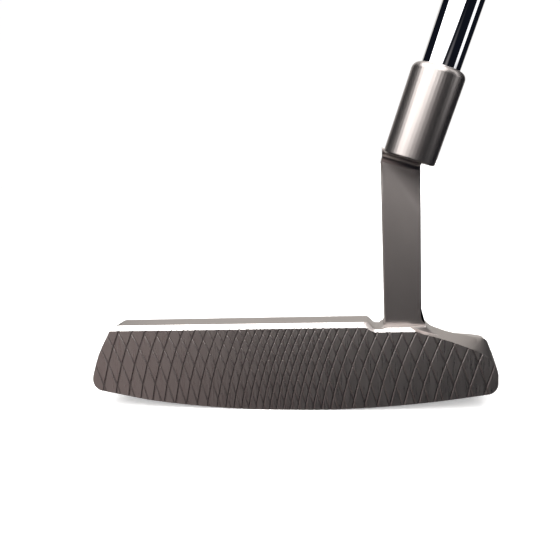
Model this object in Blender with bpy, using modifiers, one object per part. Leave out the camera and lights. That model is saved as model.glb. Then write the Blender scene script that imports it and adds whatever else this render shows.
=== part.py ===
"""A blade putter at address: milled head, plumber's neck, steel shaft and pistol grip.

The frame is in metres with +Z up. The origin is on the flat centre of the sole. The face looks
along -Y, the toe is at -X, the heel is at +X, and the shaft leans towards +X as it rises.
"""
import math

import bmesh
import bpy
from mathutils import Matrix, Vector

MM = 0.001

# Clearance kept between two pieces that touch on the real club
GAP = 0.3 * MM

# Blade
HEAD_LENGTH = 120.0 * MM
HALF_LENGTH = HEAD_LENGTH / 2
LOFT = math.radians(3.5)
FACE_TOP = 24.6 * MM
TOPLINE_CHAMFER = 1.25 * MM
TOPLINE_Z = FACE_TOP + TOPLINE_CHAMFER
PAD_CHAMFER = 0.9 * MM
PAD_Z = 24.2 * MM
SOLE_RADIUS = 320.0 * MM
SOLE_FLAT = 12.0 * MM
SOLE_STEP = 4.0 * MM
# Depths are measured back from the leading edge, which lies this far in front of the origin
LEADING_EDGE_Y = -12.0 * MM
TOPLINE_BACK = 9.2 * MM
HEAD_DEPTH = 29.0 * MM
BUMPER_FRONT_Z = 17.2 * MM
BUMPER_REAR_Z = 13.8 * MM
CAVITY_FRONT = 8.8 * MM
FLANGE_Z = 7.6 * MM
FLANGE_TILT = math.radians(3.0)
# The trailing half of the sole lifts away from the ground, from here back
SOLE_BREAK_DEPTH = 15.4 * MM

# Heel's top past the neck. Each edge starts at an (x, z), with a slope there and a growing bend.
HEEL_FRONT_START = Vector((39.4 * MM, 22.63 * MM))
HEEL_FRONT_SLOPE = -0.2295
HEEL_FRONT_BEND = -7.97
HEEL_BACK_START = Vector((42.3 * MM, 22.55 * MM))
HEEL_BACK_SLOPE = -0.38
HEEL_BACK_BEND = 7.6
# Up to its start an edge climbs at this slope, inside the neck
HEEL_LEAD_SLOPE = -0.5
# Round end of the front edge
HEEL_ROUND_CENTRE = Vector((51.9 * MM, 9.4 * MM))
HEEL_ROUND_RADIUS = 8.25 * MM
HEEL_ROUND_START = 55.4 * MM
HEEL_TOP_FIRST = 34.0 * MM
HEEL_TOP_LAST = 60.1 * MM
HEEL_TOP_RISE = 3.2 * MM
HEEL_TOP_STATIONS = 24
HEEL_TOP_PITCH = 2.1 * MM

# Neck post and its welded stub
POST_LEFT = 29.65 * MM
POST_RIGHT = 39.9 * MM
POST_FRONT = 4.6 * MM
POST_BACK = 10.9 * MM
WELD_Z = 33.0 * MM
NOTCH_Z = PAD_Z - 0.35 * MM
POST_CORNER = 0.3
# Fillets at the foot of the stub, as the height of the ground they meet and their radius
STUB_FILLETS = {
    'left': (NOTCH_Z, 1.3 * MM),
    'right': (21.0 * MM, 7.0 * MM),
    'front': (PAD_Z, 1.2 * MM),
    'back': (BUMPER_FRONT_Z, 4.0 * MM),
}
SPIGOT_RADIUS = 2.2 * MM
SPIGOT_LENGTH = 5.0 * MM

# Hosel barrel and shaft axis
SHAFT_TILT = math.radians(20.0)
HOSEL_RADIUS = 6.52 * MM
HOSEL_LENGTH = 22.1 * MM
HOSEL_BASE = Vector((36.24 * MM, LEADING_EDGE_Y - 4.08 * MM, 69.96 * MM))
HOSEL_BASE_DISTANCE = HOSEL_BASE.z / math.cos(SHAFT_TILT)
HOSEL_BORE = 5.55 * MM
BORE_FLOOR = 2.5 * MM
SHOULDER_HALF_WIDTH = 5.7 * MM
SHOULDER_BOTTOM = 0.7 * MM
SHOULDER_TOP = 15.0 * MM
SHOULDER_EDGE = 0.5 * MM
HOSEL_RIM = 1.6 * MM
HOSEL_LOWER_BEVEL = 0.35 * MM
BOND_CLEARANCE = 0.25 * MM
BOND_SETBACK = 0.2 * MM

# Shaft, as radii and as distances along its axis from the ground
CLUB_LENGTH = 864.0 * MM
SHAFT_TIP_RADIUS = 4.7 * MM
SHAFT_BUTT_RADIUS = 7.35 * MM
SHAFT_WALL = 0.9 * MM
SHAFT_STEPS = 12
FIRST_STEP = 330.0 * MM
LAST_STEP = 570.0 * MM
STEP_PITCH = (LAST_STEP - FIRST_STEP) / (SHAFT_STEPS - 1)
STEP_RAMP = 1.6 * MM

# Grip. Its section is given as half width, depth on the flat side and depth on the palm side.
GRIP_LENGTH = 267.0 * MM
GRIP_MOUTH = Vector((9.6, 9.4, 9.8)) * MM
GRIP_GROWTH = Vector((3.2, 2.2, 2.6)) * MM
PISTOL_SWELL = 5.0 * MM
PISTOL_PLACE = 0.93
PISTOL_SPREAD = 0.16
FLAT_SIDE_ROUNDNESS = 0.56
PALM_SIDE_ROUNDNESS = 0.94
TAPE_THICKNESS = 0.3 * MM
CAP_RADIUS = 9.6 * MM
CAP_THICKNESS = 2.4 * MM
CAP_EDGE = 0.5 * MM
VENT_RADIUS = 1.5 * MM
TAPE_SETBACK = 2.0 * MM

# Sole weights
WEIGHT_X = 44.0 * MM
WEIGHT_DEPTH = 15.0 * MM
WEIGHT_RADIUS = 6.35 * MM
WEIGHT_HEIGHT = 5.0 * MM
WEIGHT_EDGE = 0.3 * MM
WEIGHT_RECESS = 0.1 * MM
WRENCH_SOCKET_RADIUS = 2.3 * MM
WRENCH_SOCKET_DEPTH = 2.5 * MM
WASHER_BORE = 3.0 * MM
WASHER_THICKNESS = 0.8 * MM

# Sight line
SIGHT_START = 3.4 * MM
SIGHT_LENGTH = 15.0 * MM
SIGHT_WIDTH = 2.2 * MM
SIGHT_DEPTH = 1.1 * MM
PAINT_RECESS = 0.1 * MM

ARC_STEP = math.radians(9.0)
MERGE = 0.00001
# Reach of a cutter that must clear the whole head, and of one that must clear one surface
FAR = 60.0 * MM
CLEAR = 3.0 * MM
FINE_EDGE = 0.2 * MM

# Takes an outline drawn in (x, z) or (y, z) to its upright plane, and its depth to +Y or +X
FRONT_VIEW = Matrix(((1, 0, 0, 0), (0, 0, 1, 0), (0, 1, 0, 0), (0, 0, 0, 1)))
SIDE_VIEW = Matrix(((0, 0, 1, 0), (1, 0, 0, 0), (0, 1, 0, 0), (0, 0, 0, 1)))
# Moves a shape whose depths are measured from the leading edge into the model's frame
FROM_LEADING_EDGE = Matrix.Translation((0, LEADING_EDGE_Y, 0))


for old in list(bpy.data.objects):
    bpy.data.objects.remove(old, do_unlink=True)


def new_collection(name):
    collection = bpy.data.collections.new(name)
    bpy.context.scene.collection.children.link(collection)
    return collection


PUTTER = new_collection('blade_putter')
CUTTERS = new_collection('cutters')


def new_material(name, colour, roughness, metallic):
    material = bpy.data.materials.new(name)
    material.use_nodes = True
    shader = material.node_tree.nodes['Principled BSDF']
    shader.inputs['Base Color'].default_value = (*colour, 1.0)
    shader.inputs['Roughness'].default_value = roughness
    shader.inputs['Metallic'].default_value = metallic
    return material


# --- outlines ---------------------------------------------------------------------------------

def arc_corner(before, corner, after, radius):
    """Points of the arc that rounds a corner between its two neighbours."""
    to_before = (before - corner).normalized()
    to_after = (after - corner).normalized()
    opening = to_before.angle(to_after)
    tangent = radius / math.tan(opening / 2)
    centre = corner + (to_before + to_after).normalized() * (radius / math.sin(opening / 2))
    first = corner + to_before * tangent - centre
    turn = first.angle_signed(corner + to_after * tangent - centre)
    steps = max(2, math.ceil(abs(turn) / ARC_STEP))
    points = []
    for step in range(steps + 1):
        angle = -turn * step / steps
        swing = Matrix.Rotation(angle, 2)
        points.append(centre + swing @ first)
    return points


def rounded_outline(corners):
    """A closed outline from corners given as (x, y, radius) in millimetres."""
    points = []
    count = len(corners)
    for index, (x, y, radius) in enumerate(corners):
        corner = Vector((x, y)) * MM
        if radius == 0:
            points.append(corner)
            continue
        before = Vector(corners[index - 1][:2]) * MM
        after = Vector(corners[(index + 1) % count][:2]) * MM
        points.extend(arc_corner(before, corner, after, radius * MM))
    return points


def sole_stations(first, last, step):
    """Places along the sole, from toe to heel, where its facets meet."""
    count = math.floor((last - first) / step) + 1
    half = [first + step * index for index in range(count)]
    return [-x for x in reversed(half)] + half


def sole_height(x):
    """Height of the cambered sole, which is zero at the ends of its flat."""
    flat_drop = math.sqrt(SOLE_RADIUS ** 2 - (SOLE_FLAT / 2) ** 2)
    return flat_drop - math.sqrt(SOLE_RADIUS ** 2 - x ** 2)


# --- solids -----------------------------------------------------------------------------------

def link_mesh(name, mesh, collection, material=None):
    obj = bpy.data.objects.new(name, mesh)
    collection.objects.link(obj)
    if material:
        mesh.materials.append(material)
    if collection is CUTTERS:
        obj.hide_render = True
        obj.display_type = 'WIRE'
    return obj


def mesh_from(name, shape, matrix):
    """Turn a bmesh into a placed mesh with merged vertices and outward faces."""
    bmesh.ops.remove_doubles(shape, verts=shape.verts, dist=MERGE)
    bmesh.ops.transform(shape, matrix=matrix, verts=shape.verts)
    bmesh.ops.recalc_face_normals(shape, faces=shape.faces)
    mesh = bpy.data.meshes.new(name)
    shape.to_mesh(mesh)
    shape.free()
    return mesh


def prism(name, outline, start, end, view, collection=CUTTERS, material=None):
    """An outline pushed through from start to end along the view's line of sight."""
    curve = bpy.data.curves.new(name + '_outline', 'CURVE')
    curve.dimensions = '2D'
    curve.fill_mode = 'BOTH'
    curve.extrude = abs(end - start) / 2
    spline = curve.splines.new('POLY')
    spline.points.add(len(outline) - 1)
    for point, place in zip(spline.points, outline):
        point.co = (place[0], place[1], 0, 1)
    spline.use_cyclic_u = True
    guide = bpy.data.objects.new(name + '_outline', curve)
    CUTTERS.objects.link(guide)
    bpy.context.view_layer.update()
    evaluated = guide.evaluated_get(bpy.context.evaluated_depsgraph_get())
    filled = bpy.data.meshes.new_from_object(evaluated)
    bpy.data.objects.remove(guide)
    shape = bmesh.new()
    shape.from_mesh(filled)
    bpy.data.meshes.remove(filled)
    bmesh.ops.remove_doubles(shape, verts=shape.verts, dist=MERGE)
    bmesh.ops.dissolve_limit(shape, angle_limit=math.radians(0.1), verts=shape.verts,
                             edges=shape.edges)
    middle = (start + end) / 2
    mesh = mesh_from(name, shape, FROM_LEADING_EDGE @ view @ Matrix.Translation((0, 0, middle)))
    return link_mesh(name, mesh, collection, material)


def loft(name, rings, collection=CUTTERS, material=None):
    """A closed solid through rings of points that match one to one."""
    shape = bmesh.new()
    rows = [[shape.verts.new(point) for point in ring] for ring in rings]
    for lower, upper in zip(rows, rows[1:]):
        for index in range(len(lower)):
            shape.faces.new((lower[index - 1], lower[index], upper[index], upper[index - 1]))
    shape.faces.new(rows[0])
    shape.faces.new(rows[-1])
    mesh = mesh_from(name, shape, Matrix())
    return link_mesh(name, mesh, collection, material)


def turned(name, profile, matrix, closed, steps=40, collection=CUTTERS, material=None):
    """A profile of (radius, height) points turned about its own Z axis, then placed."""
    mesh = bpy.data.meshes.new(name)
    edges = [(index, index + 1) for index in range(len(profile) - 1)]
    if closed:
        edges.append((len(profile) - 1, 0))
    mesh.from_pydata([(radius, 0, height) for radius, height in profile], edges, [])
    obj = link_mesh(name, mesh, collection, material)
    obj.matrix_world = matrix
    screw = obj.modifiers.new('turn', 'SCREW')
    screw.steps = steps
    screw.render_steps = steps
    screw.use_merge_vertices = True
    screw.merge_threshold = MERGE
    return obj


def box(name, low, high, matrix, collection=CUTTERS, material=None):
    """A box between two corners, then placed."""
    shape = bmesh.new()
    bmesh.ops.create_cube(shape, size=1.0)
    low = Vector(low)
    high = Vector(high)
    size = high - low
    bmesh.ops.scale(shape, vec=size, verts=shape.verts)
    bmesh.ops.translate(shape, vec=(low + high) / 2, verts=shape.verts)
    mesh = mesh_from(name, shape, matrix)
    return link_mesh(name, mesh, collection, material)


def combine(obj, tool, operation):
    """Cut, join or intersect an object with a tool."""
    boolean = obj.modifiers.new(tool.name, 'BOOLEAN')
    boolean.operation = operation
    boolean.solver = 'EXACT'
    boolean.object = tool


def rounded_edges(obj, width):
    bevel = obj.modifiers.new('edges', 'BEVEL')
    bevel.width = width
    bevel.segments = 2
    bevel.limit_method = 'ANGLE'
    bevel.angle_limit = math.radians(28)
    bevel.use_clamp_overlap = True


def smooth(obj):
    obj.data.shade_smooth()
    obj.data.set_sharp_from_angle(angle=math.radians(30))


def along_shaft(distance):
    """Placement on the shaft's axis, at a distance from the ground, with +Z up the shaft."""
    tilt = Matrix.Rotation(SHAFT_TILT, 4, 'Y')
    lift = Matrix.Translation((0, 0, distance - HOSEL_BASE_DISTANCE))
    return Matrix.Translation(HOSEL_BASE) @ tilt @ lift


# --- blade ------------------------------------------------------------------------------------

def blade_outline():
    """Front view of the blade: topline, neck notch, pad, heel, cambered sole and toe."""
    half = HALF_LENGTH / MM
    topline = TOPLINE_Z / MM
    pad = PAD_Z / MM
    notch = NOTCH_Z / MM
    top = [
        (-52.0, topline, 3.5),
        (24.8, topline, 1.1),
        (26.7, notch, 1.3),
        (28.8, notch, 1.0),
        (30.4, pad, 0),
        (41.0, pad, 3.0),
        (44.0, 23.0, 6.0),
        (58.0, 19.9, 2.5),
        (half, 12.6, 6.0),
        (half, 5.5, 3.2),
    ]
    stations = sole_stations(SOLE_FLAT / 2, 54 * MM, SOLE_STEP)
    toe_rise = -46 * MM
    sole = [(x / MM, sole_height(x) / MM, 0) for x in reversed(stations) if x > toe_rise]
    toe = [
        (-half, 6.1, 3.4),
        (-half, 10.0, 6.0),
        (-57.3, 17.2, 30.0),
    ]
    return rounded_outline(top + sole + toe)


def face_plane_cutter():
    """Everything in front of the lofted face."""
    lean = FROM_LEADING_EDGE @ Matrix.Rotation(-LOFT, 4, 'X')
    return box('face_cutter', (-2 * FAR, -FAR, -FAR), (2 * FAR, 0, FAR), lean)


def chamfer_cutter(name, front_outline):
    """An outline pushed back and up at 45 degrees, which leaves a chamfer below it."""
    reach = 8.0 * MM
    lowest = FACE_TOP * math.tan(LOFT)
    slide = Vector((0, reach, reach))
    rings = []
    for step in (-1, 1):
        shift = Vector((0, LEADING_EDGE_Y + lowest, 0)) + slide * step
        rings.append([Vector((x, 0, z)) + shift for x, z in front_outline])
    return loft(name, rings)


def topline_chamfer_cutter():
    """Front of the topline, stepping down to the lower pad where the neck stands."""
    face_top = FACE_TOP / MM
    pad_edge = (PAD_Z - PAD_CHAMFER) / MM
    outline = rounded_outline([
        (-70.0, 60.0, 0),
        (-70.0, face_top, 0),
        (24.2, face_top, 1.5),
        (26.6, pad_edge, 1.0),
        (70.0, pad_edge, 0),
        (70.0, 60.0, 0),
    ])
    return chamfer_cutter('topline_chamfer_cutter', outline)


def bent_edge(x, start, slope, bend):
    """Height at x of an edge that leaves its start at a slope and bends more and more."""
    past = x - start.x
    if past < 0:
        return start.y + HEEL_LEAD_SLOPE * past
    return start.y + slope * past + bend * past ** 2


def heel_front_edge(x):
    """Height of the face's top edge on the heel side of the neck."""
    if x < HEEL_ROUND_START:
        return bent_edge(x, HEEL_FRONT_START, HEEL_FRONT_SLOPE, HEEL_FRONT_BEND)
    across = x - HEEL_ROUND_CENTRE.x
    return HEEL_ROUND_CENTRE.y + math.sqrt(HEEL_ROUND_RADIUS ** 2 - across ** 2)


def heel_back_edge(x):
    """Height of the back edge of the heel's top, which stays above its front edge."""
    back = bent_edge(x, HEEL_BACK_START, HEEL_BACK_SLOPE, HEEL_BACK_BEND)
    return min(back, heel_front_edge(x) + HEEL_TOP_RISE)


def heel_top_cutter():
    """Everything above the heel's twisted top, which rolls forward towards its end."""
    depths = [HEEL_TOP_PITCH * step - HEEL_TOP_PITCH for step in range(7)]
    rings = []
    for station in range(HEEL_TOP_STATIONS + 1):
        left = 1 - station / HEEL_TOP_STATIONS
        x = HEEL_TOP_LAST - (HEEL_TOP_LAST - HEEL_TOP_FIRST) * left ** 1.4
        front = heel_front_edge(x)
        face_y = front * math.tan(LOFT)
        slope = (heel_back_edge(x) - front) / (TOPLINE_BACK - face_y)
        ring = [(x, LEADING_EDGE_Y + y, front + slope * (y - face_y)) for y in depths]
        ring.append((x, LEADING_EDGE_Y + depths[-1], FAR))
        ring.append((x, LEADING_EDGE_Y + depths[0], FAR))
        rings.append(ring)
    return loft('heel_top_cutter', rings)


def plan_outline():
    """Top view of the blade, with its rounded rear corners and slightly bowed rear edge."""
    half = HALF_LENGTH / MM + 0.4
    depth = HEAD_DEPTH / MM
    return rounded_outline([
        (-half, -8.0, 0),
        (-half, depth - 2.2, 11.0),
        (0.0, depth + 0.5, 500.0),
        (half, depth - 2.2, 11.0),
        (half, -8.0, 0),
    ])


def rear_step_cutter():
    """Clears the space above the bumpers, behind the topline."""
    outline = rounded_outline([
        (TOPLINE_BACK / MM, 60.0, 0),
        (TOPLINE_BACK / MM, BUMPER_FRONT_Z / MM, 2.2),
        (30.0, BUMPER_REAR_Z / MM, 0),
        (60.0, BUMPER_REAR_Z / MM, 0),
        (60.0, 60.0, 0),
    ])
    return prism('rear_step_cutter', outline, -2 * FAR, 2 * FAR, SIDE_VIEW)


def flange_tilt():
    """Leans the cavity's floor down towards the trailing edge."""
    pivot = Matrix.Translation((0, LEADING_EDGE_Y + CAVITY_FRONT, FLANGE_Z))
    return pivot @ Matrix.Rotation(-FLANGE_TILT, 4, 'X') @ pivot.inverted()


def cavity_cutter():
    """The open cavity between the bumpers, down to the flange."""
    floor = FLANGE_Z / MM
    outline = rounded_outline([
        (-30.0, 40.0, 0),
        (-21.5, floor, 2.4),
        (21.5, floor, 2.4),
        (30.0, 40.0, 0),
    ])
    cutter = prism('cavity_cutter', outline, CAVITY_FRONT, FAR, FRONT_VIEW)
    cutter.data.transform(flange_tilt())
    return cutter


def sole_relief_cutter():
    """Lifts the trailing half of the sole, all along the camber."""
    start = SOLE_BREAK_DEPTH / MM
    end = HEAD_DEPTH / MM + 2.0
    trailing = [(start, -0.2), (23.0, 0.7), (end, 3.0), (end, -4.0), (start, -4.0)]
    centre = Vector((0, 0, SOLE_RADIUS + sole_height(0)))
    rings = []
    for x in sole_stations(SOLE_FLAT / 2 + SOLE_STEP / 2, 68 * MM, 2 * SOLE_STEP):
        foot = Vector((x, 0, sole_height(x)))
        inward = (centre - foot).normalized()
        ring = []
        for y, height in trailing:
            place = foot + inward * height * MM
            ring.append((place.x, LEADING_EDGE_Y + y * MM, place.z))
        rings.append(ring)
    return loft('sole_relief_cutter', rings)


def concave_reach(height, ground, radius):
    """How far a fillet of this radius stands out from a wall, at a height above its ground."""
    if height >= ground + radius:
        return 0.0
    drop = min(ground + radius - height, radius)
    return radius - math.sqrt(radius ** 2 - drop ** 2)


def spread(first, last, count, power=1.0):
    """Values from first to last, closer together near the first where the power is above one."""
    return [first + (last - first) * (step / count) ** power for step in range(count + 1)]


def neck_stub():
    """The short stub that the neck is welded to, with fillets down to the pad and the heel."""
    bumper_top, back_fillet = STUB_FILLETS['back']
    heights = [bumper_top - 2.2 * MM]
    heights += spread(bumper_top, bumper_top + back_fillet, 6)
    heights += spread(22.0 * MM, 23.5 * MM, 2)
    heights += spread(NOTCH_Z, NOTCH_Z + 4.4 * MM, 10, power=1.5)
    heights += [WELD_Z - GAP / 2]
    rings = []
    for z in heights:
        reach = {side: concave_reach(z, *STUB_FILLETS[side]) for side in STUB_FILLETS}
        left = (POST_LEFT - reach['left']) / MM
        right = (POST_RIGHT + reach['right']) / MM
        front = (POST_FRONT - reach['front']) / MM
        back = (POST_BACK + reach['back']) / MM
        corners = [(left, front), (right, front), (right, back), (left, back)]
        outline = rounded_outline([(x, y, POST_CORNER) for x, y in corners])
        rings.append([(x, LEADING_EDGE_Y + y, z) for x, y in outline])
    return loft('neck_stub', rings)


def weight_place(side, lift):
    """Placement on a sole weight's axis, which is square to the sole, lifted off the sole."""
    x = side * WEIGHT_X
    lean = math.asin(x / SOLE_RADIUS)
    place = Matrix.Translation((x, LEADING_EDGE_Y + WEIGHT_DEPTH, sole_height(x)))
    return place @ Matrix.Rotation(-lean, 4, 'Y') @ Matrix.Translation((0, 0, lift))


def disc_profile(radius, height, edge):
    """Outer profile of a plain disc with broken edges, from its top centre to its bottom."""
    return [
        (0, height),
        (radius - edge, height),
        (radius, height - edge),
        (radius, edge),
        (radius - edge, 0),
        (0, 0),
    ]


def sight_line_box(name, shrink, top, **options):
    """The sight line's groove, or the paint in it, along the middle of the flange."""
    half = SIGHT_WIDTH / 2 - shrink
    front = CAVITY_FRONT + SIGHT_START
    low = (-half, front + shrink, FLANGE_Z - SIGHT_DEPTH + shrink)
    high = (half, front + SIGHT_LENGTH - shrink, FLANGE_Z + top)
    return box(name, low, high, flange_tilt() @ FROM_LEADING_EDGE, **options)


def blade_head(material):
    head = prism('blade_head', blade_outline(), -2 * CLEAR, HEAD_DEPTH + CLEAR, FRONT_VIEW,
                 PUTTER, material)
    combine(head, prism('plan_cutter', plan_outline(), -FAR, FAR, Matrix()), 'INTERSECT')
    combine(head, face_plane_cutter(), 'DIFFERENCE')
    combine(head, rear_step_cutter(), 'DIFFERENCE')
    combine(head, cavity_cutter(), 'DIFFERENCE')
    combine(head, sole_relief_cutter(), 'DIFFERENCE')
    combine(head, topline_chamfer_cutter(), 'DIFFERENCE')
    combine(head, heel_top_cutter(), 'DIFFERENCE')
    combine(head, neck_stub(), 'UNION')
    socket_profile = disc_profile(SPIGOT_RADIUS + GAP, SPIGOT_LENGTH + CLEAR, FINE_EDGE)
    socket = turned('spigot_socket_cutter', socket_profile, spigot_place(GAP), False, 24)
    combine(head, socket, 'DIFFERENCE')
    combine(head, sight_line_box('sight_groove_cutter', 0, CLEAR), 'DIFFERENCE')
    pocket_height = WEIGHT_HEIGHT + WASHER_THICKNESS + 3 * GAP
    profile = disc_profile(WEIGHT_RADIUS + GAP, pocket_height + CLEAR, FINE_EDGE)
    for side, label in ((-1, 'toe'), (1, 'heel')):
        pocket = turned(label + '_pocket_cutter', profile, weight_place(side, -CLEAR), False)
        combine(head, pocket, 'DIFFERENCE')
    return head


def spigot_place(clearance):
    """Foot of the spigot, below the weld plane between the stub and the neck."""
    x = (POST_LEFT + POST_RIGHT) / 2
    y = LEADING_EDGE_Y + (POST_FRONT + POST_BACK) / 2
    return Matrix.Translation((x, y, WELD_Z - SPIGOT_LENGTH - clearance))


# --- neck -------------------------------------------------------------------------------------

def post_outline():
    """Front view of the post, whose top runs up into the shoulder behind the hosel barrel."""
    across = Vector((math.cos(SHAFT_TILT), -math.sin(SHAFT_TILT)))
    up = Vector((math.sin(SHAFT_TILT), math.cos(SHAFT_TILT)))
    base = Vector((HOSEL_BASE.x, HOSEL_BASE.z))
    inset = SHOULDER_HALF_WIDTH - 1.3 * MM
    left = (base - across * inset + up * 2.5 * MM) / MM
    right = (base + across * inset + up * 2.5 * MM) / MM
    knee = (base + across * SHOULDER_HALF_WIDTH + up * SHOULDER_BOTTOM) / MM
    bottom = (WELD_Z + GAP / 2) / MM
    post_left = POST_LEFT / MM
    post_right = POST_RIGHT / MM
    return rounded_outline([
        (post_left, bottom, 0),
        (post_left, left.y - 2.6, 4.0),
        (left.x, left.y, 0),
        (right.x, right.y, 0),
        (knee.x - 0.6, knee.y + 0.25, 0),
        (post_right, knee.y + 0.1, 1.0),
        (post_right, bottom, 0),
    ])


def shoulder():
    """Block that carries the barrel in front of the post, seen from the side and leaning."""
    back = (POST_BACK + LEADING_EDGE_Y - HOSEL_BASE.y) / MM
    low = SHOULDER_BOTTOM / MM
    high = SHOULDER_TOP / MM
    outline = rounded_outline([
        (0.0, low, 0),
        (back, low, 0.4),
        (back, high, 5.0),
        (0.0, high, 0),
    ])
    lean = Matrix.Translation(HOSEL_BASE) @ Matrix.Rotation(SHAFT_TILT, 4, 'Y')
    block = prism('shoulder', outline, -SHOULDER_HALF_WIDTH, SHOULDER_HALF_WIDTH, SIDE_VIEW)
    block.data.transform(lean @ FROM_LEADING_EDGE.inverted())
    rounded_edges(block, SHOULDER_EDGE)
    return block


def hosel_profile():
    """Outer profile of the hosel barrel: rounded top rim and small lower bevel."""
    profile = [(0, HOSEL_LENGTH)]
    for turn in spread(0, math.pi / 2, 5):
        profile.append((HOSEL_RADIUS - HOSEL_RIM * (1 - math.sin(turn)),
                        HOSEL_LENGTH - HOSEL_RIM * (1 - math.cos(turn))))
    profile.append((HOSEL_RADIUS, HOSEL_LOWER_BEVEL))
    profile.append((HOSEL_RADIUS - HOSEL_LOWER_BEVEL, 0))
    profile.append((0, 0))
    return profile


def plumber_neck(material):
    neck = prism('plumber_neck', post_outline(), POST_FRONT, POST_BACK, FRONT_VIEW,
                 PUTTER, material)
    rounded_edges(neck, POST_CORNER * MM)
    combine(neck, shoulder(), 'UNION')
    base = along_shaft(HOSEL_BASE_DISTANCE)
    combine(neck, turned('hosel_barrel', hosel_profile(), base, False, 52), 'UNION')
    spigot_profile = disc_profile(SPIGOT_RADIUS, SPIGOT_LENGTH + CLEAR, FINE_EDGE)
    combine(neck, turned('weld_spigot', spigot_profile, spigot_place(0), False, 24), 'UNION')
    bore_profile = disc_profile(HOSEL_BORE, HOSEL_LENGTH, FINE_EDGE)
    bore = turned('hosel_bore_cutter', bore_profile,
                  along_shaft(HOSEL_BASE_DISTANCE + BORE_FLOOR), False)
    combine(neck, bore, 'DIFFERENCE')
    return neck


# --- shaft and bond ---------------------------------------------------------------------------

def shaft_profile(tip, butt):
    """Closed wall profile of the stepped tube, down the outside and up the inside."""
    growth = (SHAFT_BUTT_RADIUS - SHAFT_TIP_RADIUS) / SHAFT_STEPS
    outside = [(SHAFT_BUTT_RADIUS, butt)]
    for step in reversed(range(SHAFT_STEPS)):
        place = FIRST_STEP + STEP_PITCH * step
        below = SHAFT_TIP_RADIUS + growth * step
        outside.append((below + growth, place + STEP_RAMP / 2))
        outside.append((below, place - STEP_RAMP / 2))
    outside.append((SHAFT_TIP_RADIUS, tip))
    inside = [(radius - SHAFT_WALL, height) for radius, height in reversed(outside)]
    return outside + inside


def shaft(material):
    tip = HOSEL_BASE_DISTANCE + BORE_FLOOR + 2 * GAP
    butt = CLUB_LENGTH - CAP_THICKNESS - 3 * GAP
    return turned('shaft', shaft_profile(tip, butt), along_shaft(0), True, 32, PUTTER, material)


def sleeve_profile(inner, outer, bottom, top):
    """Closed wall profile of a plain sleeve, down the outside and up the inside."""
    return [(outer, top), (outer, bottom), (inner, bottom), (inner, top)]


def hosel_epoxy(material):
    """Bond between the shaft's tip and the barrel's bore."""
    bottom = HOSEL_BASE_DISTANCE + BORE_FLOOR + 2 * GAP
    top = HOSEL_BASE_DISTANCE + HOSEL_LENGTH - BOND_SETBACK
    profile = sleeve_profile(SHAFT_TIP_RADIUS + BOND_CLEARANCE, HOSEL_BORE - BOND_CLEARANCE,
                             bottom, top)
    return turned('hosel_epoxy', profile, along_shaft(0), True, 32, PUTTER, material)


# --- grip -------------------------------------------------------------------------------------

def grip_shape(fraction):
    """Half width, flat-side depth and palm-side depth of the grip, from its mouth to its cap."""
    rise = fraction * fraction * (3 - 2 * fraction)
    width, flat_side, palm_side = GRIP_MOUTH + GRIP_GROWTH * rise
    pistol = math.exp(-((fraction - PISTOL_PLACE) / PISTOL_SPREAD) ** 2)
    return width, flat_side, palm_side + PISTOL_SWELL * pistol


def grip_ring(width, flat_side, palm_side, count=36):
    """Section across the grip: nearly flat under the thumbs, round in the palm."""
    ring = []
    for index in range(count):
        turn = 2 * math.pi * index / count
        across = math.sin(turn)
        front = math.cos(turn)
        if front > 0:
            roundness = FLAT_SIDE_ROUNDNESS
            depth = flat_side
        else:
            roundness = PALM_SIDE_ROUNDNESS
            depth = palm_side
        x = -math.copysign(abs(front) ** roundness, front) * depth
        y = math.copysign(abs(across) ** roundness, across) * width
        ring.append((x, y))
    return ring


def grip(material):
    """Rubber pistol grip, whose flat side, under the thumbs, faces away from the player."""
    bottom = CLUB_LENGTH - GRIP_LENGTH
    place = along_shaft(0)
    mouth = [(0.0, 0.92), (0.004, 0.98)]
    body = [(fraction, 1.0) for fraction in spread(0.01, 0.98, 26)]
    dome = [(0.988, 0.985), (0.995, 0.95), (1.0, 0.88)]
    rings = []
    for fraction, scale in mouth + body + dome:
        sizes = [size * scale for size in grip_shape(fraction)]
        height = bottom + GRIP_LENGTH * fraction
        rings.append([place @ Vector((x, y, height)) for x, y in grip_ring(*sizes)])
    sleeve = loft('grip', rings, PUTTER, material)
    bore_radius = SHAFT_BUTT_RADIUS + TAPE_THICKNESS + 2 * GAP
    bore = turned('grip_bore_cutter', disc_profile(bore_radius, GRIP_LENGTH + FAR, FINE_EDGE),
                  along_shaft(bottom - FAR / 2), False)
    combine(sleeve, bore, 'DIFFERENCE')
    seat = turned('cap_seat_cutter', disc_profile(CAP_RADIUS + GAP, FAR, FINE_EDGE),
                  along_shaft(CLUB_LENGTH - CAP_THICKNESS - GAP), False)
    combine(sleeve, seat, 'DIFFERENCE')
    return sleeve


def grip_tape(material):
    """Layer of tape that holds the grip on the shaft."""
    inner = SHAFT_BUTT_RADIUS + GAP
    bottom = CLUB_LENGTH - GRIP_LENGTH + TAPE_SETBACK
    top = CLUB_LENGTH - CAP_THICKNESS - TAPE_SETBACK
    profile = sleeve_profile(inner, inner + TAPE_THICKNESS, bottom, top)
    return turned('grip_tape', profile, along_shaft(0), True, 32, PUTTER, material)


def grip_end_cap(material):
    """Vented disc that closes the butt end of the grip."""
    profile = [
        (VENT_RADIUS, CAP_THICKNESS),
        (CAP_RADIUS - CAP_EDGE, CAP_THICKNESS),
        (CAP_RADIUS, CAP_THICKNESS - CAP_EDGE),
        (CAP_RADIUS, 0),
        (VENT_RADIUS, 0),
    ]
    place = along_shaft(CLUB_LENGTH - CAP_THICKNESS)
    return turned('grip_end_cap', profile, place, True, 40, PUTTER, material)


# --- sole weights and sight line --------------------------------------------------------------

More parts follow.
